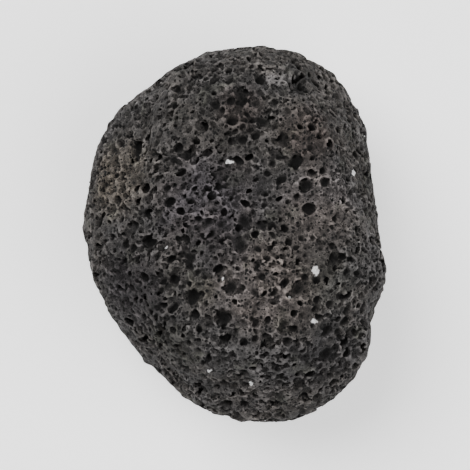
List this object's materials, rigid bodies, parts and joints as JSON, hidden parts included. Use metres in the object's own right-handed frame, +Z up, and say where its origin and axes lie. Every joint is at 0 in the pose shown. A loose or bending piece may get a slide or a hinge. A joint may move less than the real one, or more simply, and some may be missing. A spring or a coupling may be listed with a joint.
{
  "type": "lava rock",
  "caption": "Loose egg-shaped stone of dark vesicular lava, pitted all over with gas bubbles, with a worn flat underside to rest on.",
  "frame": {"origin": "middle of the stone's box, on the surface it rests on", "axes": "+Y along the stone's length towards its broader, notched end, +Z up from the worn resting face"},
  "size_m": [0.0642, 0.08, 0.0496],
  "materials": {
    "scoria": "rough dark grey vesicular lava with paler worn rims, near-black pores, a faint brown tinge and a few pale mineral specks"
  },
  "bodies": {
    "root": {"lava_rock": "scoria"}
  },
  "joints": []
}
